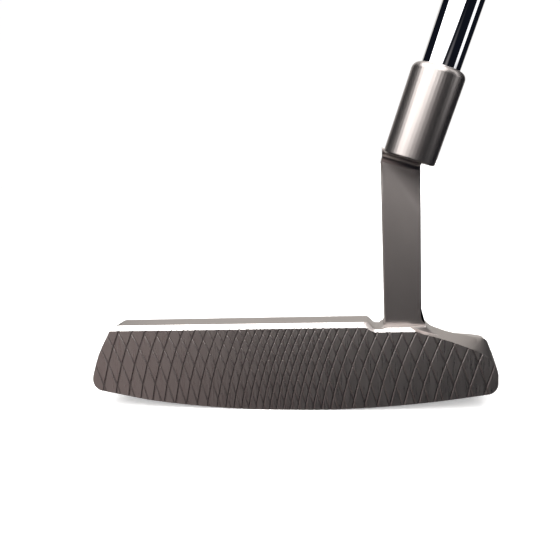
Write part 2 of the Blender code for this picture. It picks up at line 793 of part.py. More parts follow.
def sole_weight(side, label, material):
    """Screw-in weight, flush with the sole, with a hexagon socket for its wrench."""
    profile = disc_profile(WEIGHT_RADIUS, WEIGHT_HEIGHT, WEIGHT_EDGE)
    weight = turned('sole_weight_' + label, profile, weight_place(side, WEIGHT_RECESS), False,
                    40, PUTTER, material)
    shape = bmesh.new()
    bmesh.ops.create_cone(shape, cap_ends=True, segments=6, radius1=WRENCH_SOCKET_RADIUS,
                          radius2=WRENCH_SOCKET_RADIUS, depth=2 * WRENCH_SOCKET_DEPTH)
    mesh = mesh_from(label + '_wrench_socket', shape, weight_place(side, 0))
    combine(weight, link_mesh(label + '_wrench_socket', mesh, CUTTERS), 'DIFFERENCE')
    return weight


def weight_washer(side, label, material):
    """Rubber ring between a weight and the roof of its pocket."""
    profile = sleeve_profile(WASHER_BORE, WEIGHT_RADIUS - FINE_EDGE, 0, WASHER_THICKNESS)
    place = weight_place(side, WEIGHT_RECESS + WEIGHT_HEIGHT + GAP)
    return turned('weight_washer_' + label, profile, place, True, 32, PUTTER, material)


def build():
    steel = new_material('satin_steel', (0.30, 0.27, 0.26), 0.42, 1.0)
    chrome = new_material('chrome_plate', (0.80, 0.80, 0.82), 0.06, 1.0)
    weight_steel = new_material('weight_steel', (0.42, 0.41, 0.40), 0.32, 1.0)
    epoxy = new_material('epoxy_resin', (0.06, 0.06, 0.06), 0.45, 0.0)
    rubber = new_material('grip_rubber', (0.018, 0.018, 0.019), 0.72, 0.0)
    seal = new_material('washer_rubber', (0.02, 0.02, 0.02), 0.80, 0.0)
    tape = new_material('tape_paper', (0.72, 0.68, 0.58), 0.85, 0.0)
    paint = new_material('sight_paint', (0.85, 0.85, 0.83), 0.45, 0.0)
    cap = new_material('cap_plastic', (0.03, 0.03, 0.032), 0.40, 0.0)

    smooth(blade_head(steel))
    smooth(plumber_neck(steel))
    smooth(hosel_epoxy(epoxy))
    smooth(shaft(chrome))
    smooth(grip_tape(tape))
    smooth(grip(rubber))
    smooth(grip_end_cap(cap))
    sight_line_box('sight_line_fill', GAP, -PAINT_RECESS, collection=PUTTER, material=paint)
    for side, label in ((-1, 'toe'), (1, 'heel')):
        smooth(sole_weight(side, label, weight_steel))
        smooth(weight_washer(side, label, seal))


build()
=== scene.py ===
"""The looks of a blade putter at address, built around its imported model.

Lengths are written in millimetres times MM. +Z is up, the face looks along -Y, the toe is at -X
and the heel at +X.
"""
import math

import bmesh
import bpy
from mathutils import Matrix, Vector


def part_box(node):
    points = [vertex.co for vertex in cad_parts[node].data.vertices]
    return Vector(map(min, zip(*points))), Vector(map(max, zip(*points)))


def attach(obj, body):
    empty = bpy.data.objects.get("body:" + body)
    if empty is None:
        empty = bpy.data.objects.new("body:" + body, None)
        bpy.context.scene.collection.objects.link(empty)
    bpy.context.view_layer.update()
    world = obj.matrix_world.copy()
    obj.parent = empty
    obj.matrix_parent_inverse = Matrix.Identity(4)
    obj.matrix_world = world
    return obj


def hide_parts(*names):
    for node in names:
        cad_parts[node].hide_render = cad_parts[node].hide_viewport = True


MM = 0.001

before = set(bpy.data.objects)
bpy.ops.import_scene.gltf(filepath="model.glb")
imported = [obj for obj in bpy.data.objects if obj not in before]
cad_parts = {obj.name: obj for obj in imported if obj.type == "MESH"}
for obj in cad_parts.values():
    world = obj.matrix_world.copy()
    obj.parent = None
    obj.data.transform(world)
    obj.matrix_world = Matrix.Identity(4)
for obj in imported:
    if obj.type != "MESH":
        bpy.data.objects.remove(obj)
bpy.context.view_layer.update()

# Places repeated from the model: loft, leading edge, weld and the shaft's axis
LOFT = math.radians(3.5)
LEADING_EDGE_Y = -12.0 * MM
WELD_Z = 33.0 * MM
SPIGOT_X = 34.775 * MM
SPIGOT_DEPTH = 7.75 * MM
SHAFT_TILT = math.radians(20.0)
HOSEL_BASE = Vector((36.24 * MM, LEADING_EDGE_Y - 4.08 * MM, 69.96 * MM))
HOSEL_DISTANCE = HOSEL_BASE.z / math.cos(SHAFT_TILT)
CLUB_LENGTH = 864.0 * MM

MERGE = 0.001 * MM
SHARP_EDGE = math.radians(35)
TURNED_STEPS = 96


# --- meshes -----------------------------------------------------------------------------------

def link(name, data):
    """A new object in the scene with this mesh or camera."""
    obj = bpy.data.objects.new(name, data)
    bpy.context.scene.collection.objects.link(obj)
    return obj


def mesh_of(shape, name):
    """The mesh that a bmesh describes; the bmesh is freed."""
    mesh = bpy.data.meshes.new(name)
    shape.to_mesh(mesh)
    shape.free()
    return mesh


def welded(node):
    """A CAD node's surface as a bmesh whose facets share their vertices."""
    shape = bmesh.new()
    shape.from_mesh(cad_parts[node].data)
    bmesh.ops.remove_doubles(shape, verts=shape.verts, dist=MERGE)
    for face in shape.faces:
        face.material_index = 0
    return shape


def applied(obj):
    """Replace an object's mesh with its evaluated one and drop its modifiers."""
    bpy.context.view_layer.update()
    evaluated = obj.evaluated_get(bpy.context.evaluated_depsgraph_get())
    mesh = bpy.data.meshes.new_from_object(evaluated)
    old = obj.data
    obj.modifiers.clear()
    obj.data = mesh
    mesh.name = obj.name
    bpy.data.meshes.remove(old)


def cut_with(obj, cutter, operation="DIFFERENCE"):
    """Cut a closed mesh with another, or join them, and remove the other."""
    boolean = obj.modifiers.new("cut", "BOOLEAN")
    boolean.operation = operation
    boolean.solver = "MANIFOLD"
    boolean.object = cutter
    applied(obj)
    bpy.data.objects.remove(cutter)


def break_edges(obj, width, segments=2):
    """Round every sharp edge a little, as a tumbled or hand-finished edge is."""
    bevel = obj.modifiers.new("edges", "BEVEL")
    bevel.width = width
    bevel.segments = segments
    bevel.limit_method = "ANGLE"
    bevel.angle_limit = SHARP_EDGE
    bevel.use_clamp_overlap = True
    bevel.harden_normals = False
    bevel.miter_outer = "MITER_SHARP"
    applied(obj)


def shade(obj, angle):
    """Smooth shading, except over edges sharper than an angle in degrees."""
    obj.data.shade_smooth()
    obj.data.set_sharp_from_angle(angle=math.radians(angle))


def along_shaft(distance):
    """Placement on the shaft's axis, measured up it from the ground."""
    return (Matrix.Translation(HOSEL_BASE) @ Matrix.Rotation(SHAFT_TILT, 4, "Y")
            @ Matrix.Translation((0, 0, distance - HOSEL_DISTANCE)))


def lofted(name, rings, closed):
    """Skin over rings of points; a closed one joins its last ring to its first."""
    shape = bmesh.new()
    loops = [[shape.verts.new(point) for point in ring] for ring in rings]
    pairs = list(zip(loops, loops[1:]))
    if closed:
        pairs.append((loops[-1], loops[0]))
    count = len(loops[0])
    for lower, upper in pairs:
        for index in range(count):
            after = (index + 1) % count
            shape.faces.new((lower[index], lower[after], upper[after], upper[index]))
    if not closed:
        shape.faces.new(list(reversed(loops[0])))
        shape.faces.new(loops[-1])
    bmesh.ops.recalc_face_normals(shape, faces=shape.faces)
    return link(name, mesh_of(shape, name))


def turned(name, profile, place, closed=True):
    """Solid of revolution from (radius, height) points; an open one is capped at both ends."""
    turns = [2 * math.pi * index / TURNED_STEPS for index in range(TURNED_STEPS)]
    rings = []
    for radius, height in profile:
        rings.append([place @ Vector((radius * math.cos(turn), radius * math.sin(turn), height))
                      for turn in turns])
    return lofted(name, rings, closed)


def stands_for(piece, slot, *nodes):
    """Show a piece in place of the CAD nodes that it models."""
    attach(piece, "root")
    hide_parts(*nodes)


def faces_around(face, angle):
    """The faces that share an edge with this one and turn away from it by less than an angle."""
    for edge in face.edges:
        if len(edge.link_faces) == 2 and edge.calc_face_angle(math.pi) < angle:
            first, second = edge.link_faces
            yield second if first is face else first


def smooth_areas(shape, angle, finish):
    """Groups of faces with one finish that join at less than an angle, in the mesh's order."""
    waiting = {face for face in shape.faces if face.material_index == finish}
    areas = []
    for start in shape.faces:
        if start not in waiting:
            continue
        waiting.remove(start)
        area = [start]
        for face in area:
            for other in faces_around(face, angle):
                if other in waiting:
                    waiting.remove(other)
                    area.append(other)
        areas.append(area)
    return areas


def rim_smooth_areas(obj, finish):
    """Put a thin rim round each large smooth area, so that its own shading stays true.

    The offset is not an even one, which would throw a point far out from a very thin face.
    """
    shape = bmesh.new()
    shape.from_mesh(obj.data)
    large = [area for area in smooth_areas(shape, RIM_ANGLE, finish)
             if sum(face.calc_area() for face in area) > RIMMED_AREA]
    for area in large:
        bmesh.ops.inset_region(shape, faces=area, thickness=RIM_WIDTH, use_even_offset=False,
                               use_boundary=True)
    shape.to_mesh(obj.data)
    shape.free()


# --- head and neck ----------------------------------------------------------------------------

POST_FRONT_Y = LEADING_EDGE_Y + 4.6 * MM
POST_LEFT = 29.65 * MM
POST_RIGHT = 39.9 * MM
POST_CORNER = 0.3 * MM
PAD_Z = 24.2 * MM
PAD_LEFT = 27.0 * MM
PAD_FILLET = 1.3 * MM
PAD_SKIN = 0.01 * MM
SHAFT_AXIS = Matrix.Rotation(SHAFT_TILT, 3, "Y") @ Vector((0, 0, 1))
EDGE_BREAK = 0.12 * MM
HEAD_CREASE = 34
NECK_FLATNESS = math.radians(0.4)
HEAD_FLATNESS = math.radians(0.2)

# The spigot's socket, which the flush weld hides, and the band that the weld bridges
SOCKET_REACH = 2.8 * MM
SOCKET_FLOOR = 24.0 * MM
WELD_BELOW = 1.0 * MM
WELD_ABOVE = 1.5 * MM

# Thin rims round the large flat areas, which keep smooth shading off them
RIM_WIDTH = 0.05 * MM
RIM_ANGLE = math.radians(3)
RIMMED_AREA = 12.0 * MM * MM

# The shallow hollow in the post's front and the fillet above it, measured down from the barrel
HOLLOW_FROM = -13.5 * MM
HOLLOW_DEEPEST = -5.0 * MM
HOLLOW_TO = -1.6 * MM
HOLLOW_DEPTH = 0.45 * MM
HOLLOW_STATIONS = 22
POST_FRONT_REACH = 0.8 * MM
FORWARD = -0.05
NECK_FILLET = 2.4 * MM
FILLET_STEPS = 8
FILLET_LAP = 0.04 * MM
FILLET_ROOT = 0.5 * MM
FILLET_FOOT = 0.4 * MM
FILLET_TOP = 1.2 * MM


def smooth_rise(fraction):
    """From 0 to 1 with a level start and end."""
    return fraction * fraction * (3 - 2 * fraction)


def hollow_depth(place):
    """How deep the post's front is hollowed at this distance along the barrel's axis."""
    if not HOLLOW_FROM < place < HOLLOW_TO:
        return 0.0
    if place < HOLLOW_DEEPEST:
        return HOLLOW_DEPTH * smooth_rise((place - HOLLOW_FROM) / (HOLLOW_DEEPEST - HOLLOW_FROM))
    return HOLLOW_DEPTH * smooth_rise((HOLLOW_TO - place) / (HOLLOW_TO - HOLLOW_DEEPEST))


def on_post_front(vert):
    """Whether a vertex of the neck lies on the post's front or its rounded corners."""
    across = POST_LEFT - MERGE < vert.co.x < POST_RIGHT + MERGE
    return across and -POST_FRONT_REACH < vert.co.y - POST_FRONT_Y < POST_CORNER + MERGE


def hollow_post(neck):
    """Sink the post's front below the barrel, as a ball cutter leaves it."""
    for station in range(HOLLOW_STATIONS + 1):
        place = HOLLOW_FROM + (HOLLOW_TO - HOLLOW_FROM) * station / HOLLOW_STATIONS
        faces = [face for face in neck.faces
                 if face.normal.y < FORWARD and all(on_post_front(vert) for vert in face.verts)]
        edges = dict.fromkeys(edge for face in faces for edge in face.edges)
        verts = dict.fromkeys(vert for face in faces for vert in face.verts)
        bmesh.ops.bisect_plane(neck, geom=[*verts, *edges, *faces], dist=MERGE,
                               plane_co=HOSEL_BASE + SHAFT_AXIS * place, plane_no=SHAFT_AXIS)
    for vert in neck.verts:
        if on_post_front(vert):
            vert.co.y += hollow_depth((vert.co - HOSEL_BASE).dot(SHAFT_AXIS))


def neck_fillet():
    """Concave fillet from the post's front to the underside of the barrel."""
    root_y = POST_FRONT_Y + FILLET_ROOT
    centre_y = POST_FRONT_Y + FILLET_LAP - NECK_FILLET
    section = [(root_y, -NECK_FILLET - FILLET_FOOT)]
    for step in range(FILLET_STEPS + 1):
        turn = math.pi / 2 * step / FILLET_STEPS
        section.append((centre_y + NECK_FILLET * math.cos(turn),
                        -NECK_FILLET + NECK_FILLET * math.sin(turn)))
    section += [(centre_y, FILLET_TOP), (root_y, FILLET_TOP)]
    rings = []
    for x in (POST_LEFT + POST_CORNER, POST_RIGHT - POST_CORNER):
        base = HOSEL_BASE.z - (x - HOSEL_BASE.x) * math.tan(SHAFT_TILT)
        rings.append([(x, y, base + z) for y, z in section])
    return lofted("neck_fillet", rings, False)


def square_pad(blade):
    """Take the fillet in front of the post back to the post's own plane."""
    for vert in blade.verts:
        above_pad = vert.co.z > PAD_Z + PAD_SKIN and vert.co.x > PAD_LEFT
        if above_pad and POST_FRONT_Y - PAD_FILLET < vert.co.y < POST_FRONT_Y:
            vert.co.y = POST_FRONT_Y


def open_at_weld(shape, height, keep_below):
    """Cut a shape at a height by the weld and leave its outline open there."""
    bmesh.ops.bisect_plane(shape, geom=shape.verts[:] + shape.edges[:] + shape.faces[:],
                           dist=MERGE, plane_co=(0, 0, height), plane_no=(0, 0, 1),
                           clear_outer=keep_below, clear_inner=not keep_below)


def joined_head():
    """Blade and neck as one welded and flush-ground surface."""
    head = welded("blade_head")
    open_at_weld(head, WELD_Z - WELD_BELOW, True)
    axis = Vector((SPIGOT_X, LEADING_EDGE_Y + SPIGOT_DEPTH))
    socket = [face for face in head.faces
              if all((vert.co.xy - axis).length < SOCKET_REACH and vert.co.z > SOCKET_FLOOR
                     for vert in face.verts)]
    bmesh.ops.delete(head, geom=socket, context="FACES")
    square_pad(head)
    neck = welded("plumber_neck")
    bmesh.ops.dissolve_limit(neck, angle_limit=NECK_FLATNESS, verts=neck.verts,
                             edges=neck.edges)
    hollow_post(neck)
    open_at_weld(neck, WELD_Z + WELD_ABOVE, False)
    neck_mesh = mesh_of(neck, "neck_part")
    head.from_mesh(neck_mesh)
    bpy.data.meshes.remove(neck_mesh)
    rims = [edge for edge in head.edges if edge.is_boundary]
    bmesh.ops.bridge_loops(head, edges=rims)
    bmesh.ops.recalc_face_normals(head, faces=head.faces)
    bmesh.ops.dissolve_limit(head, angle_limit=HEAD_FLATNESS, verts=head.verts,
                             edges=head.edges)
    return link("putter_head", mesh_of(head, "putter_head"))


# Milling of the face: two mirrored families of arcs that cross
ARC_RADIUS = 100.0 * MM
ARC_CENTRE_Z = -20.0 * MM
ARC_LOWEST_Z = -1.0 * MM
ARC_SLOPE = (ARC_LOWEST_Z - ARC_CENTRE_Z) / math.sqrt(
    ARC_RADIUS ** 2 - (ARC_LOWEST_Z - ARC_CENTRE_Z) ** 2)
ARC_REFERENCE_Z = 12.0 * MM
MILLED_FROM_Z = -2.5 * MM
MILLED_TO_Z = 27.0 * MM
CENTRE_PITCH = 2.05 * MM
PITCH_SQUARE = 0.0105 * MM
PITCH_FOURTH = 0.00006 * MM
DENSE_PASSES = 8.85
OUTER_PITCH = 3.24 * MM
OUTER_GROWTH = 0.138 * MM
RISING_PHASE = 0.38
FALLING_PHASE = -0.28
PASSES = 20
GROOVE_HALF_WIDTH = 0.34 * MM
RISING_DEPTH = 0.12 * MM
FALLING_DEPTH = 0.085 * MM
GROOVE_LEVELS = (-1.0, -0.25, 0.25, 1.0)
MILL_CLEARANCE = 0.03 * MM
MILL_THICKNESS = 3.0 * MM


def pass_place(count):
    """Where the pass with this number crosses the reference height, by its growing pitch."""
    steps = min(abs(count), DENSE_PASSES)
    place = CENTRE_PITCH * steps + PITCH_SQUARE * steps ** 3 / 3 + PITCH_FOURTH * steps ** 5 / 5
    further = abs(count) - steps
    place += OUTER_PITCH * further + OUTER_GROWTH * further ** 2 / 2
    return math.copysign(place, count)


def arc_shift(height):
    """How far an arc has moved sideways at a height; below the sole it goes on straight."""
    if height >= ARC_LOWEST_Z:
        return ARC_RADIUS - math.sqrt(ARC_RADIUS ** 2 - (height - ARC_CENTRE_Z) ** 2)
    return arc_shift(ARC_LOWEST_Z) + ARC_SLOPE * (height - ARC_LOWEST_Z)


def arc_height(shift):
    """The height at which an arc has moved sideways this far."""
    lowest_shift = arc_shift(ARC_LOWEST_Z)
    if shift >= lowest_shift:
        return ARC_CENTRE_Z + math.sqrt(ARC_RADIUS ** 2 - (ARC_RADIUS - shift) ** 2)
    return ARC_LOWEST_Z + (shift - lowest_shift) / ARC_SLOPE


def groove_lines(phase):
    """Lines along the grooves of one family, as (place, level), level 1 being a groove's edge."""
    lines = []
    for count in range(-PASSES, PASSES + 1):
        centre = pass_place(count + phase)
        for level in GROOVE_LEVELS:
            lines.append((centre + level * GROOVE_HALF_WIDTH, level))
    return lines


def mill_cutter():
    """The sheet in front of an upright face whose ridges cut the crossing grooves."""
    rising = groove_lines(RISING_PHASE)
    falling = groove_lines(FALLING_PHASE)
    reference = arc_shift(ARC_REFERENCE_Z)
    low = arc_shift(MILLED_FROM_Z)
    high = arc_shift(MILLED_TO_Z)
    shape = bmesh.new()
    corners = {}

    def shift_at(i, j):
        return reference + (falling[j][0] - rising[i][0]) / 2

    def corner(i, j):
        if (i, j) not in corners:
            x = (rising[i][0] + falling[j][0]) / 2
            z = arc_height(shift_at(i, j))
            y = -MILL_CLEARANCE
            if abs(rising[i][1]) < 1:
                y = RISING_DEPTH
            if abs(falling[j][1]) < 1:
                y = max(y, FALLING_DEPTH)
            corners[i, j] = shape.verts.new((x, y, z))
        return corners[i, j]

    for i in range(len(rising) - 1):
        for j in range(len(falling) - 1):
            shifts = [shift_at(i, j), shift_at(i + 1, j), shift_at(i, j + 1)]
            if max(shifts) < low or min(shifts) > high:
                continue
            a, b, c, d = corner(i, j), corner(i + 1, j), corner(i + 1, j + 1), corner(i, j + 1)
            middle_i = rising[i][1] + rising[i + 1][1]
            middle_j = falling[j][1] + falling[j + 1][1]
            # Where walls of two grooves meet, the diagonal is their mitre
            if middle_i * middle_j >= 0:
                shape.faces.new((a, b, c))
                shape.faces.new((a, c, d))
            else:
                shape.faces.new((a, b, d))
                shape.faces.new((b, c, d))
    return shape


def build_mill():
    """The milling cutter as a closed slab, thickened towards the front and laid on the face."""
    shape = mill_cutter()
    result = bmesh.ops.extrude_face_region(shape, geom=shape.faces[:])
    moved = [item for item in result["geom"] if isinstance(item, bmesh.types.BMVert)]
    for vert in moved:
        vert.co.y = -MILL_THICKNESS
    bmesh.ops.recalc_face_normals(shape, faces=shape.faces)
    lean = Matrix.Translation((0, LEADING_EDGE_Y, 0)) @ Matrix.Rotation(-LOFT, 4, "X")
    bmesh.ops.transform(shape, matrix=lean, verts=shape.verts)
    return link("mill", mesh_of(shape, "mill"))


# --- materials --------------------------------------------------------------------------------

class Nodes:
    """Short ways to build the nodes of one tree."""

    def __init__(self, tree):
        self.tree = tree

    def node(self, kind, **settings):
        made = self.tree.nodes.new(kind)
        for key, value in settings.items():
            setattr(made, key, value)
        return made

    def feed(self, socket, value):
        if isinstance(value, bpy.types.NodeSocket):
            self.tree.links.new(value, socket)
        else:
            socket.default_value = value

    def math(self, operation, first, second=0.0, third=0.0):
        made = self.node("ShaderNodeMath", operation=operation)
        for socket, value in zip(made.inputs, (first, second, third)):
            self.feed(socket, value)
        return made.outputs[0]

    def vector(self, operation, first, second=None, scale=None):
        made = self.node("ShaderNodeVectorMath", operation=operation)
        self.feed(made.inputs[0], first)
        if second is not None:
            self.feed(made.inputs[1], second)
        if scale is not None:
            self.feed(made.inputs["Scale"], scale)
        return made.outputs[0]

    def ramp(self, value, low, high, start=0.0, end=1.0, shape="LINEAR"):
        made = self.node("ShaderNodeMapRange", interpolation_type=shape)
        for key, number in (("Value", value), ("From Min", start), ("From Max", end),
                            ("To Min", low), ("To Max", high)):
            self.feed(made.inputs[key], number)
        return made.outputs[0]

    def spread(self, noise, low, high):
        """Map a noise, which seldom leaves 0.3 to 0.7, onto a range."""
        return self.ramp(noise, low, high, 0.3, 0.7)

    def parts(self, vector):
        made = self.node("ShaderNodeSeparateXYZ")
        self.feed(made.inputs[0], vector)
        return made.outputs


class Surface(Nodes):
    """A Principled material whose patterns are laid out in the part's own coordinates."""

    def __init__(self, name):
        self.material = bpy.data.materials.new(name)
        self.material.use_nodes = True
        super().__init__(self.material.node_tree)
        self.shader = self.tree.nodes["Principled BSDF"]
        self.place = self.node("ShaderNodeTexCoord").outputs["Object"]

    def set(self, **values):
        for key, value in values.items():
            self.feed(self.shader.inputs[key.replace("_", " ")], value)

    def local(self, centre, turn):
        """Coordinates about a centre, turned about Y so that +Z runs along a leaning axis."""
        made = self.node("ShaderNodeVectorRotate", rotation_type="Y_AXIS")
        self.feed(made.inputs["Vector"], self.vector("SUBTRACT", self.place, tuple(centre)))
        made.inputs["Angle"].default_value = -turn
        return made.outputs[0]

    def noise(self, scale, detail=3.0, roughness=0.55, place=None):
        """Fractal noise with a number of features per metre along each axis."""
        made = self.node("ShaderNodeTexNoise")
        self.feed(made.inputs["Vector"], self.vector("MULTIPLY", place or self.place, scale))
        made.inputs["Scale"].default_value = 1.0
        made.inputs["Detail"].default_value = detail
        made.inputs["Roughness"].default_value = roughness
        return made.outputs["Fac"]

    def radius(self, place):
        parts = self.parts(place)
        squares = [self.math("MULTIPLY", parts[axis], parts[axis]) for axis in ("X", "Y")]
        return self.math("SQRT", self.math("ADD", *squares))

    def rings(self, place, density):
        """Noise that is the same all round an axis: the marks of a lathe on a flat end."""
        made = self.node("ShaderNodeTexNoise", noise_dimensions="1D")
        self.feed(made.inputs["W"], self.math("MULTIPLY", self.radius(place), density))
        made.inputs["Scale"].default_value = 1.0
        made.inputs["Detail"].default_value = 3.0
        return made.outputs["Fac"]

    def blend(self, amount, first, second):
        made = self.node("ShaderNodeMix", data_type="RGBA")
        self.feed(made.inputs["Factor"], amount)
        for key, colour in (("A", first), ("B", second)):
            self.feed(made.inputs[key], colour if len(colour) > 3 else (*colour, 1.0))
        return made.outputs["Result"]

    def bump(self, height, distance):
        made = self.node("ShaderNodeBump")
        self.feed(made.inputs["Height"], height)
        made.inputs["Distance"].default_value = distance
        return made.outputs["Normal"]


def satin_steel():
    """Blasted dark steel: fine even grain, slow changes in tone and a few lighter rubs."""
    surface = Surface("satin_steel")
    tone = surface.noise((60, 60, 60), 2.0)
    grain = surface.noise((5200, 5200, 5200), 2.0, 0.6)
    rubs = surface.ramp(surface.noise((900, 260, 260), 4.0, 0.6), 0.0, 0.03, 0.62, 0.8)
    rough = surface.math("SUBTRACT", surface.spread(grain, 0.29, 0.37), rubs)
    surface.set(Base_Color=surface.blend(tone, (0.42, 0.385, 0.37), (0.47, 0.435, 0.42)),
                Metallic=1.0, Roughness=rough, Normal=surface.bump(grain, 0.003 * MM))
    return surface.material


def milled_steel():
    """The face between its grooves, with faint upright cutter marks."""
    surface = Surface("milled_steel")
    marks = surface.noise((2600, 400, 130), 3.0, 0.6)
    grain = surface.noise((4200, 4200, 4200), 2.0, 0.6)
    tone = surface.noise((90, 90, 60), 2.0)
    height = surface.math("ADD", marks, surface.math("MULTIPLY", grain, 0.4))
    surface.set(Base_Color=surface.blend(tone, (0.41, 0.375, 0.36), (0.46, 0.425, 0.41)),
                Metallic=1.0, Roughness=surface.spread(marks, 0.26, 0.34),
                Normal=surface.bump(height, 0.002 * MM))
    return surface.material


def groove_steel():
    """The walls of the grooves, coloured darker than the lands as painted shade in the grooves.
    """
    surface = Surface("groove_steel")
    grain = surface.noise((4200, 4200, 4200), 2.0, 0.6)
    # Base colour darker than the lands': painted shade in the grooves
    surface.set(Base_Color=surface.blend(grain, (0.25, 0.225, 0.215), (0.33, 0.30, 0.29)),
                Metallic=1.0, Roughness=surface.spread(grain, 0.26, 0.34),
                Normal=surface.bump(grain, 0.002 * MM))
    return surface.material


def bright_steel():
    """The polished chamfer along the topline, with the pass marks of its cutter."""
    surface = Surface("bright_steel")
    streak = surface.noise((40, 2500, 2500), 2.0, 0.5)
    surface.set(Base_Color=surface.blend(streak, (0.78, 0.76, 0.73), (0.88, 0.86, 0.84)),
                Metallic=1.0, Roughness=surface.spread(streak, 0.14, 0.24),
                Normal=surface.bump(streak, 0.001 * MM))
    return surface.material


def chrome():
    """Plating: near mirror, with a slow ripple from the tube and thin handling haze."""
    surface = Surface("chrome")
    along = surface.local(HOSEL_BASE, SHAFT_TILT)
    haze = surface.noise((260, 260, 40), 3.0, place=along)
    ripple = surface.noise((120, 120, 18), 1.0, place=along)
    surface.set(Base_Color=surface.blend(haze, (0.82, 0.83, 0.86), (0.88, 0.89, 0.91)),
                Metallic=1.0, Roughness=surface.spread(haze, 0.02, 0.045),
                Normal=surface.bump(ripple, 0.004 * MM))
    return surface.material


def turned_steel(label, centre, lean):
    """A lathe-turned weight: concentric marks on its ends, with painted shade darker low in the
    marks.
    """
    surface = Surface("turned_steel_" + label)
    place = surface.local(centre, lean)
    marks = surface.rings(place, 5200.0)
    tone = surface.noise((300, 300, 300), 2.0)
    # Darker where the marks are low: painted shade in the turning marks
    colour = surface.blend(marks, (0.40, 0.39, 0.38), (0.56, 0.55, 0.54))
    surface.set(Base_Color=colour, Metallic=1.0,
                Roughness=surface.spread(tone, 0.2, 0.32),
                Normal=surface.bump(marks, 0.012 * MM))
    return surface.material


def grip_rubber():
    """Moulded rubber: matt, a fine pebble, and paler where hands have polished and dusted it."""
    surface = Surface("grip_rubber")
    pebble = surface.noise((2600, 2600, 2600), 3.0, 0.6)
    wear = surface.noise((70, 70, 25), 4.0, 0.6)
    surface.set(Base_Color=surface.blend(surface.ramp(wear, 0.0, 1.0, 0.4, 0.75),
                                         (0.016, 0.016, 0.017), (0.035, 0.034, 0.034)),
                Roughness=surface.ramp(wear, 0.78, 0.6, 0.35, 0.7),
                Normal=surface.bump(pebble, 0.05 * MM))
    surface.shader.inputs["Specular IOR Level"].default_value = 0.4
    return surface.material


def washer_rubber():
    surface = Surface("washer_rubber")
    grain = surface.noise((3000, 3000, 3000), 2.0)
    surface.set(Base_Color=surface.blend(grain, (0.016, 0.016, 0.016), (0.03, 0.03, 0.03)),
                Roughness=0.7, Normal=surface.bump(grain, 0.03 * MM))
    return surface.material


def cured_resin():
    """Dark bonding resin with small trapped bubbles."""
    surface = Surface("cured_resin")
    cloud = surface.noise((700, 700, 700), 3.0)
    surface.set(Base_Color=surface.blend(cloud, (0.03, 0.03, 0.032), (0.07, 0.068, 0.065)),
                Roughness=surface.spread(cloud, 0.3, 0.5),
                Normal=surface.bump(cloud, 0.05 * MM))
    return surface.material


def crepe_tape():
    """Two-sided paper tape with creases across the shaft."""
    surface = Surface("crepe_tape")
    along = surface.local(HOSEL_BASE, SHAFT_TILT)
    crease = surface.noise((300, 300, 2200), 4.0, 0.65, place=along)
    surface.set(Base_Color=surface.blend(crease, (0.62, 0.57, 0.46), (0.76, 0.72, 0.63)),
                Roughness=0.85, Normal=surface.bump(crease, 0.06 * MM))
    return surface.material


def sight_paint():
    """Hand-filled enamel: faint orange peel and a little grime."""
    surface = Surface("sight_paint")
    peel = surface.noise((1600, 1600, 1600), 2.0)
    grime = surface.noise((400, 400, 400), 4.0, 0.65)
    surface.set(Base_Color=surface.blend(surface.ramp(grime, 0.0, 0.6, 0.45, 0.8),
                                         (0.86, 0.86, 0.84), (0.66, 0.64, 0.6)),
                Roughness=surface.spread(peel, 0.22, 0.34),
                Normal=surface.bump(peel, 0.03 * MM))
    return surface.material


def cap_plastic():
    """Moulded cap with a fine spark-eroded texture."""
    surface = Surface("cap_plastic")
    grain = surface.noise((3800, 3800, 3800), 2.0, 0.6)
    scuff = surface.noise((500, 500, 500), 4.0, 0.65)
    surface.set(Base_Color=surface.blend(surface.ramp(scuff, 0.0, 1.0, 0.5, 0.8),
                                         (0.028, 0.028, 0.03), (0.06, 0.06, 0.06)),
                Roughness=surface.spread(scuff, 0.38, 0.55),
                Normal=surface.bump(grain, 0.03 * MM))
    return surface.material


# --- the head's finish ------------------------------------------------------------------------

FACE_NORMAL = Matrix.Rotation(-LOFT, 3, "X") @ Vector((0, -1, 0))
CHAMFER_NORMAL = Vector((0, -1, 1)).normalized()
SATIN, MILLED, BRIGHT, GROOVE = range(4)
HEAD_FINISHES = (satin_steel(), milled_steel(), bright_steel(), groove_steel())
FLAT_MATCH = 0.9999
FACE_MATCH = 0.02 * MM


def give_finishes(obj, index):
    """Give a mesh the head's finishes, with one of them all over."""
    obj.data.materials.clear()
    for material in HEAD_FINISHES:
        obj.data.materials.append(material)
    for face in obj.data.polygons:
        face.material_index = index


def finish_head(head):
    """Give the face and the chamfers their own finishes, and the milling crisp edges."""
    for face in head.data.polygons:
        behind = face.center.y - LEADING_EDGE_Y - face.center.z * math.tan(LOFT)
        if face.material_index != GROOVE:
            if face.normal.dot(FACE_NORMAL) > FLAT_MATCH and abs(behind) < FACE_MATCH:
                face.material_index = MILLED
            elif face.normal.dot(CHAMFER_NORMAL) > FLAT_MATCH:
                face.material_index = BRIGHT
    rim_smooth_areas(head, SATIN)
    groups = {}
    for face in head.data.polygons:
        for key in face.edge_keys:
            groups.setdefault(key, set()).add(face.material_index)
    shade(head, HEAD_CREASE)
    for edge in head.data.edges:
        if len(groups[edge.key]) > 1:
            edge.use_edge_sharp = True


head = joined_head()
cut_with(head, neck_fillet(), "UNION")
break_edges(head, EDGE_BREAK)
give_finishes(head, SATIN)
mill = build_mill()
give_finishes(mill, GROOVE)
cut_with(head, mill)
finish_head(head)
stands_for(head, "head_steel", "blade_head", "plumber_neck")


# --- shaft ------------------------------------------------------------------------------------

